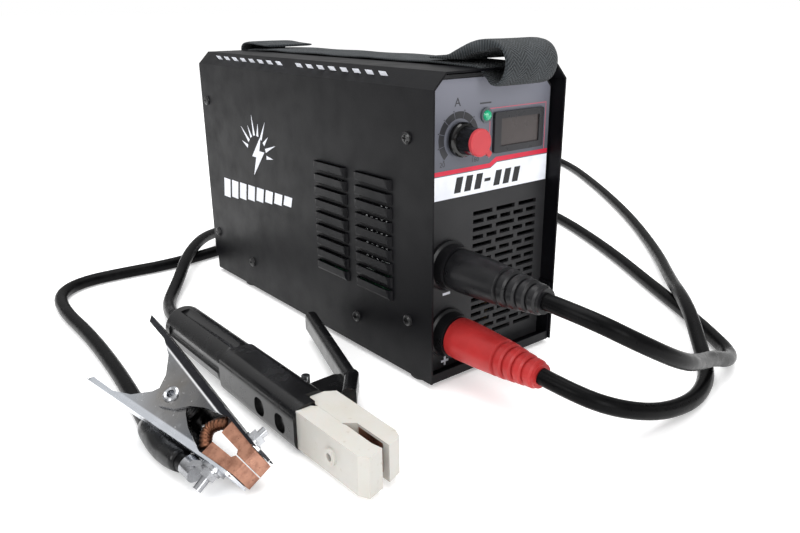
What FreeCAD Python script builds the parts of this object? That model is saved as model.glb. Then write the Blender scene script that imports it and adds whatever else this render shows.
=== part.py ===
"""Stick welding inverter: folded steel case, its inner works, and the holder and earth clamp on their leads.

Millimetres. The origin is under the middle of the case, on the surface that it stands on. +Z is up,
the front panel faces -Y, and +X is on the right seen from the front.
"""
import FreeCAD, Part
import math
import os

V = FreeCAD.Vector
X_AXIS = V(1, 0, 0)
Y_AXIS = V(0, 1, 0)
Z_AXIS = V(0, 0, 1)

# --- driving dimensions: the case -------------------------------------------------------------------
CASE_LENGTH = 300.0
CASE_WIDTH = 112.0
CASE_TOP = 193.0
CASE_BOTTOM = 3.6
SHEET = 1.2
EDGE_CHAMFER = 9.3
PANEL_RECESS = 11.0
PANEL_THICK = 2.5
FOOT_HEIGHT = 3.0
FRONT = -CASE_LENGTH / 2
REAR = CASE_LENGTH / 2
PANEL_FACE = FRONT + PANEL_RECESS
REAR_FACE = REAR - PANEL_RECESS
PANEL_HALF_WIDTH = 54.5
PANEL_BOTTOM = 5.5
PANEL_TOP = 190.0

# --- driving dimensions: front controls and outputs --------------------------------------------------
LABEL_THICK = 0.5
LABEL_FACE = PANEL_FACE - LABEL_THICK
LABEL_BOTTOM = 117.3
LABEL_TOP = 187.5
KNOB_X, KNOB_Z = -26.5, 152.7
LED_X, LED_Z = -4.9, 164.8
WINDOW = (7.2, 144.8, 41.8, 161.8)
BEZEL = (1.5, 140.8, 46.0, 165.9)
OUTPUT_X = -34.5
NEGATIVE_Z, POSITIVE_Z = 75.5, 30.5
PLUG_REACH = 80.0
CABLE_RADIUS = 5.0

# --- driving dimensions: rear --------------------------------------------------------------------------
FAN_Z = 60.0
FAN_HALF = 46.0
SWITCH_X, GLAND_X, REAR_ROW_Z = -27.0, 25.0, 150.0
GLAND_BORE = 4.5

# --- driving dimensions: carrying strap ---------------------------------------------------------------
STRAP_X0, STRAP_X1 = -14.0, 30.0
STRAP_THICK = 2.2
STRAP_SLOT = (139.7, 145.5)

# --- driving dimensions: electrode holder -------------------------------------------------------------
HOLDER_X, HOLDER_Z = -146.0, 15.0
HOLDER_REAR, HOUSING_REAR, HOUSING_FRONT = 14.0, -70.0, -158.0
GRIP_RADIUS = 14.4
HOLDER_PIVOT = V(-133.5, -129.0, 0)

# --- driving dimensions: earth clamp, in its own frame: +x to the jaw tips, +z out of the pivot --------
CLAMP_DEPTH = 22.0
CLAMP_TIP = 62.0
CLAMP_SHEET = 1.5
CLAMP_CENTRE = V(-202.4, -116.0, 28.3)
CLAMP_YAW, CLAMP_PITCH, CLAMP_ROLL = -82.0, 11.6, 33.0

os.makedirs("parts", exist_ok=True)


# --- helpers -------------------------------------------------------------------------------------------
def box(x0, y0, z0, x1, y1, z1):
    return Part.makeBox(x1 - x0, y1 - y0, z1 - z0, V(x0, y0, z0))


def rod(start, axis, radius, length):
    return Part.makeCylinder(radius, length, start, axis)


def ring(start, axis, outer, inner, length):
    hole = rod(start - axis * 1.0, axis, inner, length + 2.0)
    return rod(start, axis, outer, length).cut(hole)


def hexagon(centre, axis, across_flats, length):
    corner = across_flats / math.sqrt(3)
    turn = FreeCAD.Rotation(Z_AXIS, axis)
    points = [V(corner * math.cos(math.radians(60 * i)), corner * math.sin(math.radians(60 * i)), 0)
              for i in range(7)]
    face = Part.Face(Part.makePolygon(points))
    solid = face.extrude(V(0, 0, length))
    solid.Placement = FreeCAD.Placement(centre, turn)
    return solid


def prism(points, depth):
    """A closed outline of vectors, extruded by the vector depth."""
    return Part.Face(Part.makePolygon(points + [points[0]])).extrude(depth)


def side_prism(outline, y0, y1):
    """An outline of (x, z) pairs, extruded from y0 to y1."""
    return prism([V(x, y0, z) for x, z in outline], V(0, y1 - y0, 0))


def lathe(profile, origin, axis):
    """Turn (radius, distance along axis) pairs about the axis through origin."""
    points = [V(r, 0, s) for r, s in profile]
    face = Part.Face(Part.makePolygon(points + [points[0]]))
    solid = face.revolve(V(0, 0, 0), Z_AXIS, 360)
    solid.Placement = FreeCAD.Placement(origin, FreeCAD.Rotation(Z_AXIS, axis))
    return solid


def rounded_box(x0, y0, z0, x1, y1, z1, radius, along):
    """A box whose four edges along one axis, 0, 1 or 2, are rounded."""
    solid = box(x0, y0, z0, x1, y1, z1)
    size = (x1 - x0, y1 - y0, z1 - z0)[along]
    direction = (X_AXIS, Y_AXIS, Z_AXIS)[along]
    edges = [e for e in solid.Edges
             if abs(e.Length - size) < 1e-6 and abs(abs(e.tangentAt(0).dot(direction)) - 1) < 1e-6]
    return solid.makeFillet(radius, edges)


def fused(shapes):
    first, *rest = shapes
    return first.multiFuse(rest).removeSplitter() if rest else first


def without(shape, tools):
    return shape.cut(Part.makeCompound(tools))


def rounded_path(points):
    """Straight runs joined by tangent arcs, each as large as its two runs allow."""
    edges = []
    radii = []
    start = points[0]
    for before, corner, after in zip(points, points[1:], points[2:]):
        back = (before - corner)
        ahead = (after - corner)
        turn = math.pi - back.getAngle(ahead)
        inset = 0.45 * min(back.Length, ahead.Length)
        radii.append(inset / math.tan(turn / 2))
        into = corner + back.normalize() * inset
        out = corner + ahead.normalize() * inset
        bisector = (back + ahead).normalize()
        middle = corner + bisector * (radii[-1] / math.cos(turn / 2) - radii[-1])
        edges.append(Part.LineSegment(start, into).toShape())
        edges.append(Part.Arc(into, middle, out).toShape())
        start = out
    edges.append(Part.LineSegment(start, points[-1]).toShape())
    return Part.Wire(edges), radii


def cord(name, points, radius):
    """A round cable along a route, with its smallest bend and its volume printed."""
    path, radii = rounded_path(points)
    heading = points[1] - points[0]
    section = Part.Wire(Part.Circle(points[0], heading, radius).toShape())
    sweep = Part.BRepOffsetAPI.MakePipeShell(path)
    sweep.add(section)
    sweep.build()
    sweep.makeSolid()
    solid = sweep.shape()
    ratio = solid.Volume / (math.pi * radius ** 2 * path.Length)
    print(name, "length %.0f" % path.Length, "volume ratio %.4f" % ratio)
    print("  bend radii", " ".join("%.0f" % r for r in radii))
    return solid


def save(name, *shapes):
    solids = [s for shape in shapes for s in shape.Solids]
    shape = solids[0] if len(solids) == 1 else Part.makeCompound(solids)
    if not shape.isValid() or min(s.Volume for s in solids) <= 0:
        print("INVALID", name)
    shape.exportStep("parts/%s.step" % name)


# --- case: cover, tray, panels ---------------------------------------------------------------------------
def case_outline(inset, bottom):
    half = CASE_WIDTH / 2 - inset
    top = CASE_TOP - inset
    cut = EDGE_CHAMFER - inset * (2 - math.sqrt(2))
    return [(-half, bottom), (-half, top - cut), (-half + cut, top),
            (half - cut, top), (half, top - cut), (half, bottom)]


def louvre(side, y0, z0, lift, inset):
    """A pressed hood on one side wall: flush at the bottom, rounded, open upwards."""
    wall = side * CASE_WIDTH / 2
    length, height = 38.0, 7.0
    a, b = y0 + inset, y0 + length - inset
    low, high = z0 + inset, z0 + height
    bulge = [(0.0, low), (0.55, low + 0.5), (0.85, low + 2.2), (1.0, high), (0.0, high)]
    section = prism([V(wall + side * lift * x, a, z) for x, z in bulge], V(0, b - a, 0))
    plan = [(0.0, a), (0.5, a + 0.6), (0.86, a + 1.9), (1.0, a + 4.2), (1.0, b - 4.2), (0.86, b - 1.9),
            (0.5, b - 0.6), (0.0, b)]
    ends = prism([V(wall + side * lift * x, y, low) for x, y in plan], V(0, 0, high - low))
    root = wall - side * SHEET * 1.5
    slot = box(min(root, wall), a, low, max(root, wall), b, high)
    return section.common(ends), slot


def cover_screw_places():
    rows = [(140.0, 154.0), (-127.0, 155.0), (140.0, 38.5), (-127.3, 40.4), (78.6, 25.5), (-71.5, 25.0)]
    return [(side, y, z) for side in (-1, 1) for y, z in rows]


def case_cover():
    outer = side_prism(case_outline(0, CASE_BOTTOM), FRONT, REAR)
    inner = side_prism(case_outline(SHEET, CASE_BOTTOM - 5), FRONT - 1, REAR + 1)
    shell = outer.cut(inner)
    hoods, hollows = [], []
    for side in (-1, 1):
        for column in (-64.0, -112.0):
            for row in range(9):
                z0 = 48.5 + 9.0 * row
                hoods.append(louvre(side, column, z0, 3.0, 0)[0])
                inside, slot = louvre(side, column, z0, 1.7, 1.2)
                lid = inside.copy()
                lid.translate(V(0, 0, 0.4))
                hollows += [inside, lid, slot]
    width = STRAP_SLOT[1] - STRAP_SLOT[0]
    openings = [box(STRAP_X0 - 1, y, CASE_TOP - 4, STRAP_X1 + 1, y + width, CASE_TOP + 1)
                for y in (-STRAP_SLOT[1], STRAP_SLOT[0])]
    openings += [rod(V(side * 52, y, z), X_AXIS * side, 2.1, 8) for side, y, z in cover_screw_places()]
    openings += [box(side * 56 - 3, REAR - 4, 0, side * 56 + 3, REAR + 1, 14) for side in (-1, 1)]
    save("case_cover", without(fused([shell] + hoods), hollows + openings))


def base_tray():
    wall = CASE_WIDTH / 2 - SHEET - 0.1
    tray = box(-wall, FRONT + 1.5, FOOT_HEIGHT, wall, REAR - 1.5, 46)
    tray = tray.cut(box(-wall + SHEET, FRONT, FOOT_HEIGHT + 1.4, wall - SHEET, REAR, 50))
    lip = box(-wall + SHEET, FRONT + 1.5, FOOT_HEIGHT + 1.4, wall - SHEET, FRONT + 2.9, 9.0)
    holes = [rod(V(side * 50, y, z), X_AXIS * side, 2.1, 8) for side, y, z in cover_screw_places() if z < 44]
    slots = [rounded_box(-30, y, 2, 30, y + 4, 6, 1.9, 2) for y in range(-60, 61, 12)]
    save("base_tray", without(tray.fuse(lip), holes + slots))


def vent_slots():
    """Rows of slots laid like bricks: three long ones, then five short ones."""
    left, pitch, height = -12.6, 5.3, 2.8
    slots = []
    for row in range(17):
        count, length, gap = (3, 17.0, 3.6) if row % 2 == 0 else (5, 9.3, 2.9)
        top = 105.6 - pitch * row
        for i in range(count):
            x0 = left + i * (length + gap)
            slots.append(box(x0, PANEL_FACE - 2, top - height, x0 + length, PANEL_FACE + 5, top))
    return slots


def panel_outline():
    cut = EDGE_CHAMFER + 1.5
    w = PANEL_HALF_WIDTH
    return [(-w, PANEL_BOTTOM), (-w, PANEL_TOP - cut), (-w + cut, PANEL_TOP),
            (w - cut, PANEL_TOP), (w, PANEL_TOP - cut), (w, PANEL_BOTTOM)]


def front_panel():
    plate = side_prism(panel_outline(), PANEL_FACE, PANEL_FACE + PANEL_THICK)
    # the tray's side flanges and floor pass round the panel's lower edges
    inner = CASE_WIDTH / 2 - SHEET * 2 - 0.4
    plate = plate.common(fused([box(-inner, -200, 0, inner, 0, 200), box(-60, -200, 46.5, 60, 0, 200)]))
    x0, z0, x1, z1 = WINDOW
    holes = vent_slots()
    holes.append(box(x0 - 1.2, -200, z0 - 1.2, x1 + 1.2, 0, z1 + 1.2))
    holes.append(rod(V(LED_X, -200, LED_Z), Y_AXIS, 3.3, 200))
    holes.append(rod(V(KNOB_X, -200, KNOB_Z), Y_AXIS, 4.7, 200))
    holes += [rod(V(OUTPUT_X, -200, z), Y_AXIS, 12.2, 200) for z in (NEGATIVE_Z, POSITIVE_Z)]
    save("front_panel", without(plate, holes))


def front_label():
    w, cut = 53.3, 9.6
    outline = [(-w, LABEL_BOTTOM), (-w, LABEL_TOP - cut), (-w + cut, LABEL_TOP),
               (w - cut, LABEL_TOP), (w, LABEL_TOP - cut), (w, LABEL_BOTTOM)]
    sheet = side_prism(outline, LABEL_FACE, PANEL_FACE)
    x0, z0, x1, z1 = WINDOW
    holes = [box(x0 - 1.2, -200, z0 - 1.2, x1 + 1.2, 0, z1 + 1.2),
             rod(V(LED_X, -200, LED_Z), Y_AXIS, 3.3, 200), rod(V(KNOB_X, -200, KNOB_Z), Y_AXIS, 4.7, 200)]
    save("front_label", without(sheet, holes))


def display():
    x0, z0, x1, z1 = WINDOW
    bx0, bz0, bx1, bz1 = BEZEL
    frame = rounded_box(bx0, LABEL_FACE - 2.2, bz0, bx1, LABEL_FACE, bz1, 1.5, 1)
    save("display_bezel", frame.cut(box(x0, -200, z0, x1, 0, z1)))
    lens = box(x0, LABEL_FACE - 1.2, z0, x1, LABEL_FACE, z1)
    save("display_window", lens.fuse(box(x0 - 1, LABEL_FACE, z0 - 1, x1 + 1, PANEL_FACE + 9, z1 + 1)))


def power_lamp():
    base = V(LED_X, LABEL_FACE, LED_Z)
    save("lamp_bezel", ring(base, -Y_AXIS, 4.5, 3.2, 1.4))
    lens = [(0, -11), (3.1, -11), (3.1, 1.8), (2.5, 2.9), (1.4, 3.6), (0, 3.8)]
    save("lamp_lens", lathe(lens, base, -Y_AXIS))


def current_knob():
    back = V(KNOB_X, LABEL_FACE - 2.2, KNOB_Z)
    body = [(3.05, 0), (10.4, 0), (10.4, 2.4), (9.6, 3.4), (8.3, 3.8), (7.9, 14.4), (0, 14.4), (0, 11.4),
            (3.05, 11.4)]
    knob = lathe(body, back, -Y_AXIS)
    grooves = [rod(back + V(9.0 * math.sin(a), -3.9, 9.0 * math.cos(a)), -Y_AXIS, 1.35, 12)
               for a in (2 * math.pi * i / 12 for i in range(12))]
    save("knob_body", without(knob, grooves))
    cap = lathe([(0, 14.4), (8.1, 14.4), (8.1, 16.4), (7.4, 17.1), (0, 17.1)], back, -Y_AXIS)
    tab = rounded_box(-1.6, -16.6, 7.2, 1.6, -14.4, 11.4, 1.0, 1)
    tab.rotate(V(0, 0, 0), Y_AXIS, 135)
    tab.translate(back)
    save("knob_cap", cap.fuse(tab).removeSplitter())
    shaft = rod(V(KNOB_X, PANEL_FACE + 12, KNOB_Z), -Y_AXIS, 3.0, 12 + LABEL_THICK + 2.2 + 11.4)
    save("knob_shaft", shaft)
    bushing = [(3.08, -14), (9.0, -14), (9.0, -PANEL_THICK), (4.6, -PANEL_THICK), (4.6, 2.4), (3.08, 2.4)]
    pot = lathe(bushing, V(KNOB_X, PANEL_FACE, KNOB_Z), -Y_AXIS)
    lugs = [box(KNOB_X + dx, PANEL_FACE + 6, KNOB_Z - 14, KNOB_X + dx + 2, PANEL_FACE + 7, KNOB_Z - 8.5)
            for dx in (-6, -1, 4)]
    save("potentiometer", fused([pot] + lugs))


def outputs():
    """Two twist-lock sockets with their plugs pushed home, and the copper bars behind them."""
    sockets, contacts, nuts, pins, bars = [], [], [], [], []
    for name, z in (("negative", NEGATIVE_Z), ("positive", POSITIVE_Z)):
        at = V(OUTPUT_X, PANEL_FACE, z)
        socket = [(8.0, -8), (12.0, -8), (12.0, 0), (16.0, 0), (16.0, 2.6), (14.4, 3.6), (14.0, 11.0),
                  (11.4, 11.0), (11.4, 1.5), (8.0, 1.5)]
        sockets.append(lathe(socket, at, -Y_AXIS))
        contact = [(4.6, 1.0), (8.0, 1.0), (8.0, -14.0), (4.0, -14.0), (4.0, -26.0), (0, -26.0), (0, -12.0),
                   (4.6, -12.0)]
        contacts.append(lathe(contact, at, -Y_AXIS))
        nut = hexagon(at + V(0, PANEL_THICK, 0), Y_AXIS, 30, 5.0)
        nuts.append(nut.cut(rod(at, Y_AXIS, 12.05, 20)))
        plug = [(4.5, 2.0), (11.1, 2.0), (11.1, 11.3), (13.0, 12.3), (13.2, 18.0), (12.6, 34.0), (11.6, 50.0)]
        rib, s = 11.4, 51.0
        while s < PLUG_REACH - 3:
            plug += [(rib - 1.7, s), (rib - 1.7, s + 1.6), (rib, s + 2.3), (rib - 0.3, s + 5.6),
                     (rib - 1.6, s + 6.6)]
            rib -= 0.85
            s += 6.8
        plug += [(rib - 0.6, PLUG_REACH), (0, PLUG_REACH), (0, 9.0), (4.5, 9.0)]
        save("plug_%s" % name, lathe(plug, at, -Y_AXIS))
        pins.append(rod(at + V(0, -9.0, 0), Y_AXIS, 4.5, 20))
        bar = box(OUTPUT_X - 9, PANEL_FACE + 15, z - 6, OUTPUT_X + 9, PANEL_FACE + 18, z + 12)
        bars.append(bar.cut(rod(at, Y_AXIS, 4.1, 40)))
    save("output_sockets", *sockets)
    save("socket_contacts", *contacts)
    save("socket_nuts", *nuts)
    save("plug_pins", *pins)
    save("output_bars", *bars)


# --- inside ---------------------------------------------------------------------------------------------------
def heatsink(x0, x1):
    base = box(x0, -70, 54, x1, 60, 59)
    fins = [box(x, -70, 59, x + 1.6, 60, 100) for x in [x0 + 0.4 + 4.2 * i for i in range(9)]]
    return fused([base] + fins)


def inner_works():
    save("main_board", box(-50, -105, 46, 50, 100, 47.6))
    pillars = [rod(V(x, y, FOOT_HEIGHT + 1.4), Z_AXIS, 4, 46 - FOOT_HEIGHT - 1.4)
               for x in (-44, 44) for y in (-96, 90)]
    save("board_pillars", *pillars)
    save("heatsinks", heatsink(-46, -10), heatsink(10, 46))
    chips = [box(x, y, 47.6, x + 16, y + 20, 54) for x in (-40, 16) for y in (-60, -32, -4, 24)]
    save("power_transistors", *chips)
    cans = [rod(V(x, 80, 47.6), Z_AXIS, 12, 40) for x in (-36, -10, 16)]
    cans += [rod(V(38, 82, 47.6), Z_AXIS, 8, 30)]
    save("bulk_capacitors", *cans)
    core = box(-24, -64, 100.1, 24, -12, 146).cut(box(-16, -80, 108, 16, 0, 138))
    core = core.fuse(box(-5, -64, 108, 5, -12, 138))
    save("transformer_core", core)
    winding = rounded_box(-15.8, -62, 108.2, 15.8, -14, 137.8, 4, 1).cut(box(-5.2, -80, 104, 5.2, 0, 142))
    save("transformer_winding", winding)
    save("output_choke", Part.makeTorus(17, 8, V(0, 30, 108.1), Z_AXIS))
    board = box(-50, PANEL_FACE + 22, 118, 50, PANEL_FACE + 23.6, 180)
    chips = [box(x, PANEL_FACE + 23.6, z, x + 9, PANEL_FACE + 27, z + 6) for x in (-40, -22, 12, 30)
             for z in (128, 146)]
    save("control_board", fused([board] + chips))


# --- rear -------------------------------------------------------------------------------------------------------
def rear_panel():
    inner = CASE_WIDTH / 2 - SHEET * 2 - 0.4
    plate = side_prism(panel_outline(), REAR_FACE - PANEL_THICK, REAR_FACE)
    plate = plate.common(fused([box(-inner, 0, 0, inner, 200, 200), box(-60, 0, 46.5, 60, 200, 200)]))
    holes = [rod(V(0, 0, FAN_Z), Y_AXIS, 41.5, 200), rod(V(GLAND_X, 0, REAR_ROW_Z), Y_AXIS, 8.1, 200),
             box(SWITCH_X - 13.6, 0, REAR_ROW_Z - 10.6, SWITCH_X + 13.6, 200, REAR_ROW_Z + 10.6)]
    save("rear_panel", without(plate, holes))


def fan():
    y0, y1 = REAR_FACE - PANEL_THICK - 25.0, REAR_FACE - PANEL_THICK
    frame = rounded_box(-FAN_HALF, y0, FAN_Z - FAN_HALF, FAN_HALF, y1, FAN_Z + FAN_HALF, 5, 1)
    frame = frame.cut(rod(V(0, y0 - 1, FAN_Z), Y_AXIS, 42.5, 30))
    motor = rod(V(0, y0, FAN_Z), Y_AXIS, 15, 4)
    arms = []
    for i in range(4):
        arm = box(12, y0, FAN_Z - 2, 44, y0 + 3, FAN_Z + 2)
        arm.rotate(V(0, 0, FAN_Z), Y_AXIS, 45 + 90 * i)
        arms.append(arm)
    pin = rod(V(0, y0, FAN_Z), Y_AXIS, 1.5, 18)
    save("fan_frame", fused([frame, motor, pin] + arms))
    hub = rod(V(0, y0 + 5, FAN_Z), Y_AXIS, 17, 17).cut(rod(V(0, y0, FAN_Z), Y_AXIS, 1.55, 20))
    blades = []
    for i in range(7):
        blade = box(15, -0.8, -13, 39.5, 0.8, 13)
        blade.rotate(V(0, 0, 0), X_AXIS, 52)
        blade = blade.common(box(0, -7, -20, 60, 7, 20))
        blade.translate(V(0, y0 + 13.5, FAN_Z))
        blade.rotate(V(0, 0, FAN_Z), Y_AXIS, 360 / 7 * i)
        blades.append(blade)
    save("fan_rotor", fused([hub] + blades))
    rings = [Part.makeTorus(r, 1.0, V(0, REAR_FACE + 2.2, FAN_Z), Y_AXIS) for r in (8, 16, 24, 32, 40)]
    spokes = []
    for i in range(4):
        spoke = box(-43, REAR_FACE + 0.2, FAN_Z - 0.9, 43, REAR_FACE + 2.0, FAN_Z + 0.9)
        spoke.rotate(V(0, 0, FAN_Z), Y_AXIS, 45 * i)
        spokes.append(spoke)
    save("fan_guard", fused(rings + spokes))


def mains_switch():
    x0, x1 = SWITCH_X - 13.4, SWITCH_X + 13.4
    z0, z1 = REAR_ROW_Z - 10.4, REAR_ROW_Z + 10.4
    body = box(x0, REAR_FACE - 22, z0, x1, REAR_FACE, z1)
    body = body.fuse(rounded_box(x0 - 2, REAR_FACE, z0 - 2, x1 + 2, REAR_FACE + 2, z1 + 2, 2, 1))
    body = body.cut(box(x0 + 2, REAR_FACE - 12, z0 + 1.2, x1 - 2, REAR_FACE + 5, z1 - 1.2))
    pivot = V(x0 + 0.6, REAR_FACE - 1, REAR_ROW_Z)
    save("switch_body", body.cut(rod(pivot, X_AXIS, 1.55, x1 - x0 - 1.2)))
    # a rocker that stands proud at one end and flush at the other
    low, mid = REAR_FACE - 4.0, REAR_FACE + 1.0
    outline = [V(x0 + 2.4, low, z0 + 2.6), V(x0 + 2.4, low, z1 - 2.6), V(x0 + 2.4, REAR_FACE + 0.6, z1 - 2.6),
               V(x0 + 2.4, mid, REAR_ROW_Z), V(x0 + 2.4, REAR_FACE + 5.2, z0 + 2.6)]
    pins = rod(pivot + X_AXIS * 0.2, X_AXIS, 1.5, x1 - x0 - 1.6)
    save("switch_rocker", fused([prism(outline, V(x1 - x0 - 4.8, 0, 0)), pins]))


def cable_gland():
    at = V(GLAND_X, REAR_FACE, REAR_ROW_Z)
    body = hexagon(at, Y_AXIS, 22, 6).fuse(lathe([(0, -9), (8.0, -9), (8.0, 0), (9.2, 6), (9.2, 15), (7.2, 21),
                                                  (0, 21)], at, Y_AXIS))
    save("cable_gland", body.cut(rod(at + V(0, -20, 0), Y_AXIS, GLAND_BORE, 60)))
    nut = hexagon(at - V(0, PANEL_THICK + 4.5, 0), Y_AXIS, 22, 4.5)
    save("gland_locknut", nut.cut(rod(at - V(0, 30, 0), Y_AXIS, 8.05, 60)))


def fasteners_and_feet():
    screws = []
    for side, y, z in cover_screw_places():
        out = X_AXIS * side
        wall = V(side * CASE_WIDTH / 2, y, z)
        head = lathe([(0, 0), (3.8, 0), (3.6, 1.2), (2.4, 2.0), (0, 2.2)], wall, out)
        cross = [box(-0.5, -1.9, 0, 0.5, 1.9, 2.0), box(-1.9, -0.5, 0, 1.9, 0.5, 2.0)]
        for blade in cross:
            blade.Placement = FreeCAD.Placement(wall + out * 1.1, FreeCAD.Rotation(Z_AXIS, out))
        screws.append(without(head.fuse(rod(wall, -out, 2.0, 4.2)), cross))
    screws += [rod(V(x, REAR_FACE, FAN_Z + z), Y_AXIS, 3.2, 2.0) for x in (-41, 41) for z in (-41, 41)]
    stud = V(0, REAR_FACE, 118)
    screws.append(rod(stud, Y_AXIS, 2.5, 7).fuse(hexagon(stud, Y_AXIS, 8, 3.2)))
    save("case_screws", *screws)
    feet = [lathe([(0, 0), (7.5, 0), (8.5, 1.0), (8.5, FOOT_HEIGHT), (0, FOOT_HEIGHT)], V(x, y, 0), Z_AXIS)
            for x in (-46, 46) for y in (-131, 95)]
    save("rubber_feet", *feet)


def strap():
    """Webbing along the roof, down each end slot, round the roof's end bar and back over itself."""
    route = [(-98, 197.2), (-112, 197.8), (-124, 203.0), (-140, 208.6), (-157, 207.5), (-164.5, 198.0),
             (-161.5, 187.0), (-153.5, 182.6), (-147.4, 188.6), (-143.3, 192.2), (-139.6, 194.35), (0, 194.3),
             (139.6, 194.35), (142.8, 192.0), (146.8, 188.9), (152.4, 189.8), (153.8, 196.0),
             (147.0, 199.6), (136, 199.4), (122, 197.8), (108, 197.4)]
    middle = V((STRAP_X0 + STRAP_X1) / 2, 0, 0)
    points = [middle + V(0, y, z) for y, z in route]
    path, radii = rounded_path(points)
    heading = (points[1] - points[0]).normalize()
    across = V((STRAP_X1 - STRAP_X0) / 2, 0, 0)
    up = X_AXIS.cross(heading) * (STRAP_THICK / 2)
    corners = [points[0] + across + up, points[0] - across + up, points[0] - across - up,
               points[0] + across - up]
    sweep = Part.BRepOffsetAPI.MakePipeShell(path)
    sweep.setBiNormalMode(X_AXIS)
    sweep.add(Part.makePolygon(corners + [corners[0]]))
    sweep.build()
    sweep.makeSolid()
    print("strap length %.0f" % path.Length)
    save("strap", sweep.shape())


# --- earth clamp ---------------------------------------------------------------------------------------------
def clamp_placement():
    turn = (FreeCAD.Rotation(Z_AXIS, CLAMP_YAW) * FreeCAD.Rotation(Y_AXIS, CLAMP_PITCH)
            * FreeCAD.Rotation(X_AXIS, CLAMP_ROLL))
    return FreeCAD.Placement(CLAMP_CENTRE, turn)


def placed(shape):
    moved = shape.copy()
    moved.Placement = clamp_placement().multiply(shape.Placement)
    return moved


def clamp_half(side, inset):
    """One pressed steel jaw: a spine on edge and two side plates that carry the rivet."""
    half = CLAMP_DEPTH / 2
    spine = [(-55.6, 24.5), (50, 10.6), (CLAMP_TIP, 9.4)]
    inner = [(x, y - CLAMP_SHEET) for x, y in spine]
    back = prism([V(x, side * y, -half) for x, y in spine + inner[::-1]], V(0, 0, CLAMP_DEPTH))
    corner = 6.0
    for x, cut_side in ((-55.6, -1), (CLAMP_TIP, 1)):
        for z in (-half, half):
            block = box(min(x, x - cut_side * corner), -40, min(z, z * 0.4), max(x, x - cut_side * corner), 40,
                        max(z, z * 0.4))
            round_end = rod(V(x - cut_side * corner, -40, z - math.copysign(corner, z)), Y_AXIS, corner, 80)
            keep = block.common(box(-80, -40, z - corner if z > 0 else z, 90, 40, z if z > 0 else z + corner))
            back = back.cut(keep.cut(round_end))
    plate = [(-55.0, 24.4), (-52, 20.8), (-33.8, 18.9), (-22.2, 13.9), (-12.9, 5.3), (-9.9, -0.7),
             (-6.5, -6.0), (-0.7, -8.4), (8.6, -4.2), (14.8, 2.1), (22.0, 6.0), (30.0, 8.6), (38.0, 10.5),
             (40.0, 10.25), (50.0, 9.05), (59.0, 8.0), (61.2, 8.6), (61.6, 9.3), (50.0, 10.5)]
    plates = []
    for z in (half - inset - CLAMP_SHEET, -half + inset):
        plates.append(prism([V(x, side * y, z) for x, y in plate], V(0, 0, CLAMP_SHEET)))
    jaw = fused([back] + plates)
    return without(jaw, [rod(V(0, 0, -20), Z_AXIS, 3.05, 40)])


def clamp_pad(side):
    """A folded copper pad: set back behind, and meeting its partner at the mouth."""
    outline = [(40.0, 10.1), (40.0, 3.0), (54.6, 2.2), (56.0, 0.3), (62.6, 0.3), (62.6, 7.4), (50, 8.9)]
    depth = CLAMP_DEPTH - 3.2
    solid = prism([V(x, side * y, -depth / 2) for x, y in outline], V(0, 0, depth))
    hollow = [(41.5, 8.4), (41.5, 4.4), (55.4, 3.7), (57.0, 1.8), (61.1, 1.8), (61.1, 6.1), (50, 7.4)]
    return solid.cut(prism([V(x, side * y, -depth / 2 - 1) for x, y in hollow], V(0, 0, depth - 0.6)))


def clamp_bolt(x, y, side, length):
    """A bolt through a spine, its head outside."""
    out = V(0.13, side, 0).normalize()
    at = V(x, side * y, 0)
    head = hexagon(at, out, 8, 4.2)
    washer = rod(at - out * 0.01, out, 5.2, 1.0)
    return fused([head, washer, rod(at + out * 3, out, 2.4, length)])


def earth_clamp():
    save("clamp_jaw_fixed", placed(clamp_half(-1, 1.8)))
    save("clamp_jaw_moving", placed(clamp_half(1, 0)))
    half = CLAMP_DEPTH / 2
    rivet = lathe([(0, -half - 1.4), (4.4, -half - 1.4), (4.4, -half - 0.1), (3.0, -half - 0.1),
                   (3.0, half + 0.1), (4.6, half + 0.1), (4.4, half + 0.9), (3.4, half + 1.5), (2.2, half + 1.2),
                   (2.0, half - 4), (0, half - 4)], V(0, 0, 0), Z_AXIS)
    save("clamp_rivet", placed(rivet))
    coil = [Part.makeTorus(6.2, 1.0, V(0, 0, z), Z_AXIS) for z in (-5.0, -2.9, -0.8, 1.3, 3.4)]
    posts = box(5.4, -0.8, -5.0, 7.0, 0.8, 3.4)
    save("clamp_spring", placed(fused(coil + [posts])))
    save("clamp_pad_fixed", placed(clamp_pad(-1)))
    save("clamp_pad_moving", placed(clamp_pad(1)))
    save("clamp_bolt_moving", placed(clamp_bolt(51.0, 10.5, 1, 5)))
    lug_x, lug_y = 45.0, 11.3
    save("clamp_bolt_fixed", placed(clamp_bolt(lug_x, lug_y + 1.9, -1, 8)))
    out = V(0.13, -1, 0).normalize()
    ring_lug = ring(V(lug_x, -lug_y, 0), out, 7.0, 3.0, 1.8)
    tongue = prism([V(x, y, -4.5) for x, y in [(35, -20.0), (35, -15.5), (40, -12.4), (44, -11.6), (44, -13.0),
                                               (41, -13.8)]], V(0, 0, 9))
    tongue = tongue.cut(rod(V(lug_x, -30, 0), Y_AXIS, 5.6, 60))
    barrel = rod(V(30.0, -18.6, -1.5), X_AXIS, 5.6, 8.0)
    save("cable_lug", placed(fused([ring_lug, tongue, barrel])))
    path, _ = rounded_path([V(36.0, -7.6, 4), V(29.6, -3.2, 4.6), V(29.6, 3.6, 5.2), V(35.8, 8.6, 5.4)])
    section = Part.Wire(Part.Circle(V(36.0, -7.6, 4), V(-6.4, 4.4, 0.6), 2.6).toShape())
    sweep = Part.BRepOffsetAPI.MakePipeShell(path)
    sweep.add(section)
    sweep.build()
    sweep.makeSolid()
    save("clamp_braid", placed(sweep.shape()))


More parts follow.
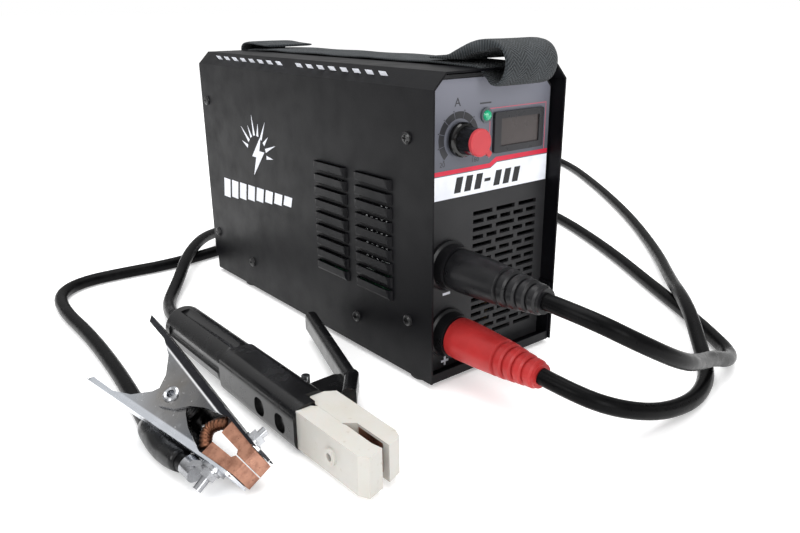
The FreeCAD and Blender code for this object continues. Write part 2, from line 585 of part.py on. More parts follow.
# --- electrode holder -------------------------------------------------------------------------------------------
def electrode_holder():
    grip = rod(V(HOLDER_X, HOLDER_REAR, HOLDER_Z), -Y_AXIS, GRIP_RADIUS, HOLDER_REAR - HOUSING_REAR)
    grip = grip.makeFillet(2.0, [grip.Edges[0], grip.Edges[2]])
    flutes = []
    for angle in (20, 95, 170, 245, 320):
        a = math.radians(angle)
        centre = V(HOLDER_X + 19.5 * math.cos(a), HOLDER_REAR - 8, HOLDER_Z + 19.5 * math.sin(a))
        flutes.append(rod(centre, -Y_AXIS, 6.5, 90))
    save("holder_grip", without(grip, flutes))

    x0, x1, z0, z1 = HOLDER_X - 13.6, HOLDER_X + 13.6, 0.2, 28.2
    housing = rounded_box(x0, HOUSING_FRONT, z0, x1, HOUSING_REAR, z1, 8.0, 1)
    mouth = box(HOLDER_PIVOT.x - 11, -190, 9.4, x1 + 5, -97, 20.6)
    nose = box(HOLDER_X + 0.4, -190, -5, x1 + 5, -148.5, 40)
    dimples = [rounded_box(x0 - 1, y - 5.5, 7.5, x0 + 2.4, y + 5.5, 18.5, 4.5, 0) for y in (-120, -143)]
    pin_hole = rod(V(HOLDER_PIVOT.x, HOLDER_PIVOT.y, -5), Z_AXIS, 2.5, 50)
    save("holder_housing", without(housing, [mouth, nose, pin_hole] + dimples))
    save("holder_pin", rod(V(HOLDER_PIVOT.x, HOLDER_PIVOT.y, z0 + 0.3), Z_AXIS, 2.48, z1 - z0 - 0.6))

    left, seam = HOLDER_X - 11.6, HOLDER_X + 0.4
    fixed = [(left, HOUSING_FRONT + 0.2), (seam - 3, HOUSING_FRONT + 0.2), (seam, -161), (seam, -184.0),
             (seam + 0.6, -186.5), (seam + 0.6, -208), (seam + 2.0, -214.4), (left + 4, -217.4),
             (left + 1.0, -212)]
    jaw = prism([V(x, y, 3.6) for x, y in fixed], V(0, 0, 22.8))
    groove = box(seam - 2.0, -209, 8.0, seam + 3, -187, 24.6)
    boss = rod(V(left + 4.5, -190, 15), -X_AXIS, 4.6, 5.6)
    hole = rod(V(left + 4.5, -190, 15), -X_AXIS, 2.2, 8)
    save("holder_jaw_fixed", without(jaw.fuse(boss), [groove, hole]))
    save("holder_copper_fixed", box(seam - 2.0, -209, 8.0, seam + 0.5, -187, 24.6))

    side = HOLDER_X + 18.0
    moving = [(seam + 0.4, -150.5), (seam + 3.0, -148.6), (side - 6.0, -148.6), (side, -152.5),
              (side, -205), (side - 2.0, -210.6), (seam + 6.6, -214.0), (seam + 6.4, -187.5),
              (seam + 0.4, -182.5)]
    upper = prism([V(x, y, 4.6) for x, y in moving], V(0, 0, 21.4))
    groove = box(seam + 4.0, -209, 8.0, seam + 9.0, -188.5, 24.4)
    save("holder_jaw_moving", upper.cut(groove))
    save("holder_copper_moving", box(seam + 6.5, -209, 8.0, seam + 9.0, -188.5, 24.4))

    # the lever: a tang on the pin, a cheek out to the bend, and the long grip bar
    tang = prism([V(x, y, 10.2) for x, y in
                  [(-139, -148.5), (-139, -127), (-134, -121.5), (-122, -119.5), (-108, -119), (-101, -124),
                   (-110, -141), (-122, -148.5)]], V(0, 0, 6.0))
    bar = rounded_box(0, -4.4, 7.0, 98, 4.4, 22.5, 4.0, 0)
    bar.rotate(V(0, 0, 0), Z_AXIS, 71.4)
    bar.translate(V(-104.5, -132, 0))
    foot = rounded_box(0, -4.4, 7.0, 24, 4.4, 22.5, 4.0, 0)
    foot.rotate(V(0, 0, 0), Z_AXIS, 51)
    foot.translate(V(-117.5, -149.0, 0))
    lever = fused([tang, bar, foot])
    lever = lever.cut(rod(V(HOLDER_PIVOT.x, HOLDER_PIVOT.y, 0), Z_AXIS, 2.53, 40))
    clearance = prism([V(x, y, 0) for x, y in [(side + 0.3, -150.9), (side + 0.3, -180), (-150, -180),
                                               (-150, -148.4), (side - 5.9, -148.4)]], V(0, 0, 40))
    save("holder_lever", lever.cut(clearance))
    coil = [Part.makeTorus(4.2, 0.55, V(HOLDER_PIVOT.x, HOLDER_PIVOT.y, z), Z_AXIS) for z in (16.9, 18.3, 19.7)]
    save("holder_spring", *coil)


# --- leads --------------------------------------------------------------------------------------------------------
def leads():
    """The negative lead goes to the earth clamp, and the positive lead to the electrode holder."""
    tip = PANEL_FACE - PLUG_REACH
    negative = [
        (OUTPUT_X, tip, NEGATIVE_Z),
        (-32.5, -247, 74), (-15.5, -267, 62), (18, -273, 43), (52, -264, 29), (81, -258, 20.5),
        (104, -256, 11), (126, -246, 5.6), (145, -222, 5.2), (166, -192, 5.2), (198, -140, 5.2),
        (246, -66, 5.2), (290, 14, 5.2), (318, 78, 5.2), (316, 134, 5.2), (276, 180, 5.2),
        (206, 204, 5.2), (120, 212, 5.2), (36, 204, 5.2), (-40, 186, 5.2), (-92, 177, 5.2),
        (-130, 181, 5.2), (-168, 181, 5.2),
        (-192, 161, 5.2), (-199, 122, 5.2), (-198, 60, 5.2), (-202, -8, 5.2), (-209, -70, 5.2),
        (-216.5, -112, 5.3), (-213, -146.8, 10.7)]
    positive = [
        (OUTPUT_X, tip, POSITIVE_Z),
        (-32, -243, 27.5), (-16.5, -259, 20.5), (14, -266, 10.5), (48, -266, 5.4), (76, -258, 5.2),
        (97, -245, 6.4), (116, -228, 12), (136, -210, 18.5), (163, -186, 19.5), (205, -152, 11.5),
        (284, -87, 5.2), (376, 9, 5.2), (468, 122, 5.2), (550, 234, 5.2), (578, 306, 5.2),
        (534, 354, 5.2), (450, 362, 5.2), (328, 348, 5.2), (205, 322, 5.2), (105, 290, 5.2),
        (28, 256, 5.2), (-22, 222, 13), (-52, 192, 18.5), (-80, 160, 16), (-106, 122, 7),
        (-128, 88, 5.6), (-139, 58, 9.5), (-145, 33, 14),
        (HOLDER_X, HOLDER_REAR, HOLDER_Z)]
    save("lead_negative", cord("lead_negative", [V(*p) for p in negative], CABLE_RADIUS))
    save("lead_positive", cord("lead_positive", [V(*p) for p in positive], CABLE_RADIUS))


case_cover()
base_tray()
front_panel()
front_label()
display()
power_lamp()
current_knob()
outputs()
inner_works()
rear_panel()
fan()
mains_switch()
cable_gland()
fasteners_and_feet()
strap()
earth_clamp()
electrode_holder()
leads()
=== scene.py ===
import math

import bmesh
import bpy
from mathutils import Euler, Matrix, Vector


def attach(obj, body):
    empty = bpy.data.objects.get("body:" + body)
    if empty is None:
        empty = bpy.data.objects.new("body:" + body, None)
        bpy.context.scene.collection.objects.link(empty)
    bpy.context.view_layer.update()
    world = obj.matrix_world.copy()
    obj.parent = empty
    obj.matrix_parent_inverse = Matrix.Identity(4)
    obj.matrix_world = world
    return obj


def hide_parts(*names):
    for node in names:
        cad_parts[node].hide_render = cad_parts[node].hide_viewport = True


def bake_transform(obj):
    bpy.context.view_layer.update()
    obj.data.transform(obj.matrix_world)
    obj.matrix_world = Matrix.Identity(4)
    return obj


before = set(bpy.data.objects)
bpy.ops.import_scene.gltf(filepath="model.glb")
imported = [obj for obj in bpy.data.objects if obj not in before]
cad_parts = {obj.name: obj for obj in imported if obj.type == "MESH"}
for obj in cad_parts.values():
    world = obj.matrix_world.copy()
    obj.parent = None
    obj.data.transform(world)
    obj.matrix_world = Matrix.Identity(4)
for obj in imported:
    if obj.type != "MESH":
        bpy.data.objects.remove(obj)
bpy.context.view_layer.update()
MM = 0.001

# The places that part.py gives, in millimetres.
LABEL_FACE = -139.5
PANEL_FACE = -139.0
KNOB = (-26.5, 152.7)
LAMP = (-4.9, 164.8)
BEZEL = (1.5, 140.8, 46.0, 165.9)
CABLE_RADIUS = 5.0
CLAMP_TURN = (Matrix.Rotation(math.radians(-82), 3, "Z") @ Matrix.Rotation(math.radians(11.6), 3, "Y")
              @ Matrix.Rotation(math.radians(33), 3, "X"))
CLAMP_CENTRE = Vector((-202.4, -116.0, 28.3))
# The clamp's spines: half the height between them over the rivet, and how much they close per unit of length.
SPINE_HALF_HEIGHT = 17.18
SPINE_SLOPE = 0.1316

CAMERA_AZIMUTH, CAMERA_ELEVATION, CAMERA_ROLL = -38.60666, 19.1072, -0.46029
CAMERA_PLACE = (-0.32891, -0.46129, 0.22554)
CAMERA_LENS = 33.41

STRAP_MIDDLE = 8.0
STRAP_HALF_WIDTH = 22.0
STRAP_THICK = 1.9
STRAP_TAIL = 0.07
FOLD_THICK = 5.5
PRINT_THICK = 0.08
MARK_THICK = 0.12

NEGATIVE_ROUTE = [
    (-34.5, -219, 75.5), (-32.5, -247, 74), (-15.5, -267, 62), (18, -273, 43), (52, -264, 29),
    (81, -258, 20.5), (104, -256, 11), (126, -246, 5.6), (145, -222, 5.2), (166, -192, 5.2),
    (198, -140, 5.2), (246, -66, 5.2), (290, 14, 5.2), (318, 78, 5.2), (316, 134, 5.2), (276, 180, 5.2),
    (206, 204, 5.2), (120, 212, 5.2), (36, 204, 5.2), (-40, 186, 5.2), (-92, 177, 5.2), (-130, 181, 5.2),
    (-168, 181, 5.2), (-192, 161, 5.2), (-199, 122, 5.2), (-198, 60, 5.2), (-202, -8, 5.2),
    (-209, -70, 5.2), (-216.5, -112, 5.3), (-213, -146.8, 10.7)]
POSITIVE_ROUTE = [
    (-34.5, -219, 30.5), (-32, -243, 27.5), (-16.5, -259, 20.5), (14, -266, 10.5), (48, -266, 5.4),
    (76, -258, 5.2), (97, -245, 6.4), (116, -228, 12), (136, -210, 18.5), (163, -186, 19.5),
    (205, -152, 11.5), (284, -87, 5.2), (376, 9, 5.2), (468, 122, 5.2), (550, 234, 5.2), (578, 306, 5.2),
    (534, 354, 5.2), (450, 362, 5.2), (328, 348, 5.2), (205, 322, 5.2), (105, 290, 5.2), (28, 256, 5.2),
    (-22, 222, 13), (-52, 192, 18.5), (-80, 160, 16), (-106, 122, 7), (-128, 88, 5.6), (-139, 58, 9.5),
    (-145, 33, 14), (-146, 14, 15)]


# --- camera -------------------------------------------------------------------------------------------------
def make_camera():
    azimuth, elevation, roll = (math.radians(v) for v in (CAMERA_AZIMUTH, CAMERA_ELEVATION, CAMERA_ROLL))
    forward = Vector((-math.sin(azimuth) * math.cos(elevation), math.cos(azimuth) * math.cos(elevation),
                      -math.sin(elevation)))
    right = forward.cross(Vector((0, 0, 1))).normalized()
    up = right.cross(forward)
    tilted = math.cos(roll) * right + math.sin(roll) * up
    upright = math.cos(roll) * up - math.sin(roll) * right
    data = bpy.data.cameras.new("camera")
    data.lens = CAMERA_LENS
    data.sensor_width = 36
    camera = bpy.data.objects.new("camera", data)
    matrix = Matrix((tilted, upright, -forward)).transposed().to_4x4()
    matrix.translation = Vector(CAMERA_PLACE)
    camera.matrix_world = matrix
    bpy.context.collection.objects.link(camera)
    bpy.context.scene.camera = camera


make_camera()


# --- building pieces ----------------------------------------------------------------------------------------
def link(name, data, material=None):
    piece = bpy.data.objects.new(name, data)
    bpy.context.collection.objects.link(piece)
    if material:
        data.materials.append(material)
    return piece


def from_bmesh(name, mesh, material, smooth=True):
    data = bpy.data.meshes.new(name)
    bmesh.ops.recalc_face_normals(mesh, faces=mesh.faces)
    mesh.to_mesh(data)
    mesh.free()
    for face in data.polygons:
        face.use_smooth = smooth
    return link(name, data, material)


def cord_curve(name, route, radius):
    data = bpy.data.curves.new(name, "CURVE")
    data.dimensions = "3D"
    data.resolution_u = 16
    data.bevel_depth = radius * MM
    data.bevel_resolution = 8
    data.use_fill_caps = True
    spline = data.splines.new("NURBS")
    spline.points.add(len(route) - 1)
    for point, place in zip(spline.points, route):
        point.co = (place[0] * MM, place[1] * MM, place[2] * MM, 1)
    spline.order_u = 3
    spline.use_endpoint_u = True
    return link(name, data)


def centreline(route, resolution=16):
    """The points of the smooth line that a route gives."""
    curve = cord_curve("route", route, 0)
    curve.data.resolution_u = resolution
    curve.data.use_fill_caps = False
    mesh = bpy.data.meshes.new_from_object(curve)
    points = [v.co.copy() for v in mesh.vertices]
    bpy.data.objects.remove(curve)
    bpy.data.meshes.remove(mesh)
    return points


def tube(name, points, radii, material, sides=32, wobble=None):
    """A closed tube along points, with a radius in metres at each."""
    mesh = bmesh.new()
    rings = []
    normal = None
    for i, point in enumerate(points):
        ahead = points[min(i + 1, len(points) - 1)] - points[max(i - 1, 0)]
        ahead.normalize()
        if normal is None:
            normal = ahead.orthogonal().normalized()
        normal = (normal - ahead * normal.dot(ahead)).normalized()
        side = ahead.cross(normal)
        ring = []
        for k in range(sides):
            angle = 2 * math.pi * k / sides
            radius = radii[i] * (wobble(i, angle) if wobble else 1)
            ring.append(mesh.verts.new(point + radius * (math.cos(angle) * normal + math.sin(angle) * side)))
        rings.append(ring)
    for a, b in zip(rings, rings[1:]):
        for k in range(sides):
            mesh.faces.new((a[k], a[(k + 1) % sides], b[(k + 1) % sides], b[k]))
    mesh.faces.new(rings[0])
    mesh.faces.new(rings[-1])
    return from_bmesh(name, mesh, material)


def plates(name, outlines, front, thickness, material, place=None):
    """Thin flat shapes on the front panel, or wherever place puts them. Outlines are in millimetres."""
    mesh = bmesh.new()
    for outline in outlines:
        near = [mesh.verts.new(Vector((x, front - thickness, z)) * MM) for x, z in outline]
        far = [mesh.verts.new(Vector((x, front, z)) * MM) for x, z in outline]
        mesh.faces.new(near)
        mesh.faces.new(far[::-1])
        for k in range(len(outline)):
            j = (k + 1) % len(outline)
            mesh.faces.new((near[k], far[k], far[j], near[j]))
    if place:
        mesh.transform(place)
    return from_bmesh(name, mesh, material, smooth=False)


def text_plate(name, words, size, x, z, front, material, thickness=0.1):
    """Centred lettering, set flat on the front panel."""
    data = bpy.data.curves.new(name, "FONT")
    data.body = words
    data.size = size * MM
    data.align_x = "CENTER"
    data.align_y = "CENTER"
    data.extrude = thickness * MM / 2
    data.resolution_u = 3
    maker = link(name + "_outline", data)
    maker.matrix_world = (Matrix.Translation(Vector((x, front - thickness / 2, z)) * MM)
                          @ Euler((math.pi / 2, 0, 0)).to_matrix().to_4x4())
    bpy.context.view_layer.update()
    mesh = bpy.data.meshes.new_from_object(maker)
    mesh.transform(maker.matrix_world)
    bpy.data.objects.remove(maker)
    piece = link(name, mesh)
    mesh.materials.clear()
    mesh.materials.append(material)
    return piece


def bar(x0, z0, x1, z1, lean=0.0):
    return [(x0, z0), (x1, z0), (x1 + lean, z1), (x0 + lean, z1)]


def arc_band(centre, inner, outer, start, end, steps=16):
    """A flat ring's sector. Angles are in degrees, clockwise from straight up."""
    angles = [math.radians(start + (end - start) * i / steps) for i in range(steps + 1)]
    out = [(centre[0] + outer * math.sin(a), centre[1] + outer * math.cos(a)) for a in angles]
    back = [(centre[0] + inner * math.sin(a), centre[1] + inner * math.cos(a)) for a in reversed(angles)]
    return out + back


# --- materials ----------------------------------------------------------------------------------------------
class Look:
    """A material with its own node tree, and short calls for the nodes it needs."""

    def __init__(self, name, colour, rough, metallic=0.0, coat=0.0, coat_rough=0.1, specular=0.5):
        self.material = bpy.data.materials.new(name)
        self.material.use_nodes = True
        self.tree = self.material.node_tree
        self.shader = self.tree.nodes["Principled BSDF"]
        self.shader.inputs["Base Color"].default_value = (*colour, 1)
        self.shader.inputs["Roughness"].default_value = rough
        self.shader.inputs["Metallic"].default_value = metallic
        self.shader.inputs["Coat Weight"].default_value = coat
        self.shader.inputs["Coat Roughness"].default_value = coat_rough
        self.shader.inputs["Specular IOR Level"].default_value = specular
        self.coords = self.node("ShaderNodeTexCoord")
        self.place = self.coords.outputs["Object"]
        self.height = None

    def node(self, kind, **values):
        made = self.tree.nodes.new(kind)
        for key, value in values.items():
            setattr(made, key, value)
        return made

    def join(self, source, target):
        self.tree.links.new(source, target)

    def stretch(self, x, y, z):
        mapping = self.node("ShaderNodeMapping")
        mapping.inputs["Scale"].default_value = (x, y, z)
        self.join(self.place, mapping.inputs["Vector"])
        return mapping.outputs["Vector"]

    def noise(self, scale, detail=4.0, place=None, rough=0.5):
        made = self.node("ShaderNodeTexNoise")
        made.inputs["Scale"].default_value = scale
        made.inputs["Detail"].default_value = detail
        made.inputs["Roughness"].default_value = rough
        self.join(place or self.place, made.inputs["Vector"])
        return made.outputs["Fac"]

    def ramp(self, source, low, high, dark, light):
        made = self.node("ShaderNodeMapRange")
        made.inputs["From Min"].default_value = low
        made.inputs["From Max"].default_value = high
        made.inputs["To Min"].default_value = dark
        made.inputs["To Max"].default_value = light
        self.join(source, made.inputs["Value"])
        return made.outputs["Result"]

    def tint(self, source, other, share=1.0):
        """Mixes another colour in by source, over whatever the base colour is."""
        mix = self.node("ShaderNodeMix", data_type="RGBA")
        held = self.shader.inputs["Base Color"]
        if held.is_linked:
            self.join(held.links[0].from_socket, mix.inputs["A"])
        else:
            mix.inputs["A"].default_value = held.default_value
        mix.inputs["B"].default_value = (*other, 1)
        self.join(self.ramp(source, 0, 1, 0, share), mix.inputs["Factor"])
        self.join(mix.outputs["Result"], held)

    def vary(self, source, low, high, other):
        self.tint(self.ramp(source, low, high, 0, 1), other)

    def vary_rough(self, source, low, high, least, most):
        self.join(self.ramp(source, low, high, least, most), self.shader.inputs["Roughness"])

    def bump(self, source, depth, strength=1.0):
        made = self.node("ShaderNodeBump")
        made.inputs["Distance"].default_value = depth * MM
        made.inputs["Strength"].default_value = strength
        self.join(source, made.inputs["Height"])
        if self.height:
            self.join(self.height, made.inputs["Normal"])
        self.height = made.outputs["Normal"]
        self.join(self.height, self.shader.inputs["Normal"])

    def along(self, direction, source):
        """How far source reaches in a direction."""
        made = self.node("ShaderNodeVectorMath", operation="DOT_PRODUCT")
        made.inputs[1].default_value = tuple(direction)
        self.join(source, made.inputs[0])
        return made.outputs["Value"]

    def maths(self, operation, a, b=None):
        made = self.node("ShaderNodeMath", operation=operation)
        for socket, value in zip(made.inputs, (a, b)):
            if value is None:
                continue
            if isinstance(value, (int, float)):
                socket.default_value = value
            else:
                self.join(value, socket)
        return made.outputs["Value"]


def painted(name, colour, rough, grain=900, depth=0.03):
    """Powder coat: an orange-peel grain, faint rub marks and dust."""
    look = Look(name, colour, rough, specular=0.15)
    lighter = tuple(c * 1.3 + 0.001 for c in colour)
    look.vary(look.noise(14, 4), 0.45, 0.85, lighter)
    look.vary_rough(look.noise(60, 5), 0.3, 0.75, rough - 0.06, rough + 0.1)
    look.bump(look.noise(grain, 2), depth)
    return look.material


def plastic(name, colour, rough, grain=1400, depth=0.02, coat=0.0, specular=0.3):
    look = Look(name, colour, rough, coat=coat, specular=specular)
    look.vary(look.noise(45, 5), 0.45, 0.8, tuple(c * 1.3 + 0.002 for c in colour))
    look.vary_rough(look.noise(90, 4), 0.3, 0.75, rough - 0.05, rough + 0.08)
    look.bump(look.noise(grain, 3), depth)
    return look.material


def rubber(name, colour, rough=0.55):
    look = Look(name, colour, rough, specular=0.3)
    look.vary(look.noise(60, 6), 0.4, 0.8, tuple(c * 1.3 + 0.004 for c in colour))
    look.vary_rough(look.noise(150, 4), 0.3, 0.75, rough - 0.1, rough + 0.12)
    look.bump(look.noise(1600, 3), 0.03)
    look.bump(look.noise(120, 3), 0.05)
    return look.material


def metal(name, colour, rough, other, streak=(1, 1, 1)):
    look = Look(name, colour, rough, metallic=1.0)
    look.vary(look.noise(38, 6, rough=0.6), 0.4, 0.75, other)
    place = look.stretch(*streak)
    look.vary_rough(look.noise(240, 6, place), 0.3, 0.7, max(rough - 0.1, 0.05), rough + 0.14)
    look.bump(look.noise(700, 4, place), 0.02)
    look.bump(look.noise(70, 2), 0.08)
    return look.material


def zinc_plate():
    """Bright zinc, with painted light: painted shade darkening the plates towards the mouth, pale patches of
    painted highlight, and rounded long edges and folds drawn as painted highlight and painted shade, one edge
    pale and one dark.
    """
    look = Look("zinc_plate", (0.42, 0.44, 0.47), 0.2, metallic=1.0)
    facing = look.coords.outputs["Normal"]
    long_way, side_way, out_way = (CLAMP_TURN @ Vector(v) for v in ((1, 0, 0), (0, 1, 0), (0, 0, 1)))
    centre = CLAMP_CENTRE * MM
    along = look.maths("SUBTRACT", look.along(long_way, look.place), long_way.dot(centre))
    side = look.maths("SUBTRACT", look.along(side_way, look.place), side_way.dot(centre))
    # painted shade: the plates darken towards the mouth and towards their right side
    look.tint(look.ramp(look.maths("ADD", along, side), -0.03, 0.03, 0, 1), (0.07, 0.075, 0.085), 0.96)
    look.vary(look.noise(26, 7, rough=0.65), 0.45, 0.7, (0.14, 0.145, 0.15))
    look.vary(look.noise(45, 5, rough=0.6), 0.56, 0.76, (0.42, 0.44, 0.47))
    apart = look.node("ShaderNodeVectorMath", operation="DISTANCE")
    look.join(look.place, apart.inputs[0])
    apart.inputs[1].default_value = tuple(centre)
    near = look.ramp(apart.outputs["Value"], 0.012, 0.03, 1, 0)
    look.tint(look.maths("MULTIPLY", near, look.noise(60, 5)), (0.20, 0.16, 0.11), 0.7)
    # painted highlight: scattered pale patches stand in for reflections on the bright zinc
    look.tint(look.ramp(look.noise(420, 2), 0.68, 0.76, 0, 1), (0.8, 0.8, 0.82), 0.45)
    # how far a place is inside the line of its spine
    closing = look.maths("MULTIPLY", along, SPINE_SLOPE)
    spine = look.maths("SUBTRACT", SPINE_HALF_HEIGHT * MM, closing)
    inside = look.maths("SUBTRACT", spine, look.maths("ABSOLUTE", side))
    right = look.ramp(side, -0.001, 0.001, 0, 1)
    left = look.ramp(side, -0.001, 0.001, 1, 0)
    # painted light for the rounded long edges: a band inside each spine line, pale as painted highlight on
    # the left and dark as painted shade on the right, with a thin painted highlight line just inside the
    # right band
    edge = look.ramp(inside, 0.0036, 0.0044, 1, 0)
    look.tint(look.maths("MULTIPLY", edge, left), (0.66, 0.69, 0.74), 0.85)
    look.tint(look.maths("MULTIPLY", edge, right), (0.02, 0.02, 0.024), 0.95)
    painted_crease_highlight = look.maths("MULTIPLY", look.ramp(inside, 0.0036, 0.0042, 0, 1),
                        look.ramp(inside, 0.0045, 0.0052, 1, 0))
    look.tint(look.maths("MULTIPLY", painted_crease_highlight, right), (0.95, 0.96, 0.98), 0.9)
    # painted light and shade: faces turned towards the left get a pale tint, faces turned the other way a
    # dark one
    painted_light_facing = look.along(CLAMP_TURN @ Vector((0.13, -1, 0)), facing)
    look.tint(look.ramp(painted_light_facing, 0.75, 0.95, 0, 1), (0.62, 0.65, 0.70), 0.9)
    look.tint(look.ramp(painted_light_facing, -0.75, -0.93, 0, 1), (0.035, 0.035, 0.04), 0.92)
    # painted highlight: faces neither flat nor edge-on to the clamp's face, where the sheet bends, get a
    # bright tint in place of the sheen of rounded folds
    out_ward = look.maths("ABSOLUTE", look.along(out_way, facing))
    fold = look.maths("MULTIPLY", look.ramp(out_ward, 0.12, 0.3, 0, 1), look.ramp(out_ward, 0.97, 0.88, 0, 1))
    look.tint(fold, (0.92, 0.93, 0.95), 0.9)
    look.vary_rough(look.noise(120, 6), 0.3, 0.75, 0.12, 0.36)
    look.bump(look.noise(90, 4), 0.12)
    look.bump(look.noise(900, 2), 0.02)
    return look.material


def copper_sheet():
    look = Look("copper_sheet", (0.40, 0.205, 0.14), 0.3, metallic=1.0)
    look.vary(look.noise(110, 6, rough=0.7), 0.44, 0.68, (0.17, 0.075, 0.05))
    look.vary(look.noise(520, 3), 0.66, 0.72, (0.06, 0.03, 0.02))
    look.vary_rough(look.noise(200, 5), 0.3, 0.75, 0.25, 0.5)
    look.bump(look.noise(500, 4), 0.04)
    return look.material


def cable_sheath():
    look = Look("cable_sheath", (0.0025, 0.0025, 0.0028), 0.34, specular=0.06)
    look.vary(look.noise(90, 6), 0.45, 0.8, (0.005, 0.005, 0.0053))
    look.vary_rough(look.noise(220, 5), 0.3, 0.75, 0.24, 0.38)
    look.bump(look.noise(1800, 3), 0.03)
    return look.material


def overlay_print():
    """The printed grey overlay, lighter towards its top."""
    look = Look("overlay_print", (0.105, 0.11, 0.135), 0.4, specular=0.35)
    split = look.node("ShaderNodeSeparateXYZ")
    look.join(look.place, split.inputs["Vector"])
    look.tint(look.ramp(split.outputs["Z"], 0.140, 0.186, 0, 1), (0.20, 0.205, 0.245))
    look.vary_rough(look.noise(70, 4), 0.3, 0.7, 0.32, 0.46)
    look.bump(look.noise(1800, 2), 0.012)
    return look.material


def ivory_moulding():
    look = Look("ivory_moulding", (0.50, 0.487, 0.455), 0.5)
    look.shader.inputs["Subsurface Weight"].default_value = 0.08
    look.shader.inputs["Subsurface Scale"].default_value = 0.004
    look.vary(look.noise(40, 6), 0.45, 0.85, (0.47, 0.44, 0.38))
    look.vary(look.noise(300, 3), 0.66, 0.8, (0.40, 0.36, 0.30))
    look.vary_rough(look.noise(120, 4), 0.3, 0.75, 0.42, 0.6)
    look.bump(look.noise(600, 4), 0.05)
    return look.material


def webbing():
    """Woven tape: chevrons across the width in two greys, from the strap's own UV map in metres."""
    look = Look("webbing", (0.007, 0.0085, 0.0095), 0.85, specular=0.15)
    look.shader.inputs["Sheen Weight"].default_value = 0.12
    look.shader.inputs["Sheen Roughness"].default_value = 0.5
    split = look.node("ShaderNodeSeparateXYZ")
    look.join(look.node("ShaderNodeUVMap").outputs["UV"], split.inputs["Vector"])
    across, along = split.outputs["X"], split.outputs["Y"]
    fold = look.maths("PINGPONG", across, 0.0055)
    rows = look.maths("ADD", along, look.maths("MULTIPLY", fold, 0.9))
    thread = look.maths("SINE", look.maths("MULTIPLY", rows, 2 * math.pi / 0.0022))
    ribs = look.maths("SINE", look.maths("MULTIPLY", across, 2 * math.pi / 0.0011))
    weave = look.maths("ADD", look.maths("MULTIPLY", thread, 0.6), look.maths("MULTIPLY", ribs, 0.4))
    look.tint(look.ramp(weave, -0.9, 0.9, 0, 1), (0.046, 0.054, 0.060))
    look.vary(look.noise(60, 5), 0.5, 0.85, (0.05, 0.058, 0.064))
    look.bump(weave, 0.4)
    look.bump(look.noise(2600, 2), 0.05)
    return look.material


def braid_look():
    look = Look("braid_copper", (0.15, 0.065, 0.038), 0.42, metallic=1.0)
    look.vary(look.noise(320, 5), 0.4, 0.7, (0.08, 0.04, 0.025))
    look.bump(look.noise(1500, 3), 0.06)
    return look.material


def circuit_board():
    look = Look("circuit_board", (0.02, 0.14, 0.06), 0.4)
    look.vary(look.noise(400, 2), 0.55, 0.6, (0.05, 0.22, 0.11))
    look.bump(look.noise(500, 2), 0.05)
    return look.material


def coiled(name, colour):
    """Wound wire: close ridges round the bobbin."""
    look = Look(name, colour, 0.35, metallic=0.6, coat=0.5)
    wave = look.node("ShaderNodeTexWave", bands_direction="Z")
    wave.inputs["Scale"].default_value = 160
    look.join(look.place, wave.inputs["Vector"])
    look.tint(wave.outputs["Fac"], tuple(c * 0.4 for c in colour))
    look.bump(wave.outputs["Fac"], 0.4)
    return look.material


def clear_lens(name, colour, glow=0.0):
    look = Look(name, colour, 0.12, coat=0.8, coat_rough=0.05)
    look.vary(look.noise(120, 3), 0.4, 0.75, tuple(c * 1.6 for c in colour))
    look.shader.inputs["Emission Color"].default_value = (*colour, 1)
    look.shader.inputs["Emission Strength"].default_value = glow
    return look.material


COVER = painted("cover_paint", (0.0022, 0.0022, 0.0032), 0.4)
PANEL = plastic("panel_plastic", (0.017, 0.017, 0.0185), 0.5, grain=1100, depth=0.05)
OVERLAY = overlay_print()
BEZEL_LOOK = plastic("bezel_plastic", (0.018, 0.018, 0.021), 0.3)
WINDOW_LOOK = plastic("window_plastic", (0.055, 0.046, 0.045), 0.3, depth=0.003)
LAMP_RING = plastic("lamp_ring", (0.085, 0.10, 0.11), 0.35)
LAMP_LOOK = clear_lens("lamp_green", (0.01, 0.33, 0.16), 0.35)
KNOB_LOOK = plastic("knob_black", (0.004, 0.004, 0.0045), 0.14, depth=0.004, specular=0.5)
CORAL = plastic("knob_coral", (0.47, 0.045, 0.055), 0.42, depth=0.1)
RED_PRINT = plastic("print_red", (0.56, 0.02, 0.05), 0.42, depth=0.005)
PINK_PRINT = plastic("print_pink", (0.55, 0.12, 0.17), 0.42, depth=0.005)
WHITE_PRINT = plastic("print_white", (0.76, 0.78, 0.84), 0.42, depth=0.005)
DIAL_PRINT = plastic("print_dial", (0.028, 0.028, 0.032), 0.42, depth=0.005)
DARK_PRINT = plastic("print_dark", (0.012, 0.012, 0.014), 0.42, depth=0.005)
GREY_PRINT = plastic("print_grey", (0.045, 0.045, 0.05), 0.42, depth=0.005)
ZINC = zinc_plate()
STEEL = metal("bright_steel", (0.46, 0.47, 0.49), 0.18, (0.2, 0.2, 0.21))
BLACK_STEEL = plastic("black_oxide", (0.006, 0.006, 0.0065), 0.3, specular=0.6)
BRASS = metal("brass", (0.72, 0.5, 0.22), 0.28, (0.5, 0.33, 0.14))
ALUMINIUM = metal("aluminium", (0.62, 0.63, 0.64), 0.34, (0.5, 0.5, 0.52), (1, 12, 1))
COPPER = copper_sheet()
BRAID = braid_look()
RUBBER = rubber("plug_rubber", (0.006, 0.006, 0.007), 0.36)
FOOT_RUBBER = rubber("foot_rubber", (0.02, 0.02, 0.02), 0.65)
RED_RUBBER = rubber("red_rubber", (0.38, 0.022, 0.022), 0.4)
SHEATH = cable_sheath()
SLEEVE = rubber("sleeve_rubber", (0.003, 0.003, 0.0035), 0.3)
HOLDER = plastic("holder_black", (0.0035, 0.0035, 0.004), 0.24, grain=900, depth=0.015, specular=0.4)
IVORY = ivory_moulding()
WEBBING = webbing()
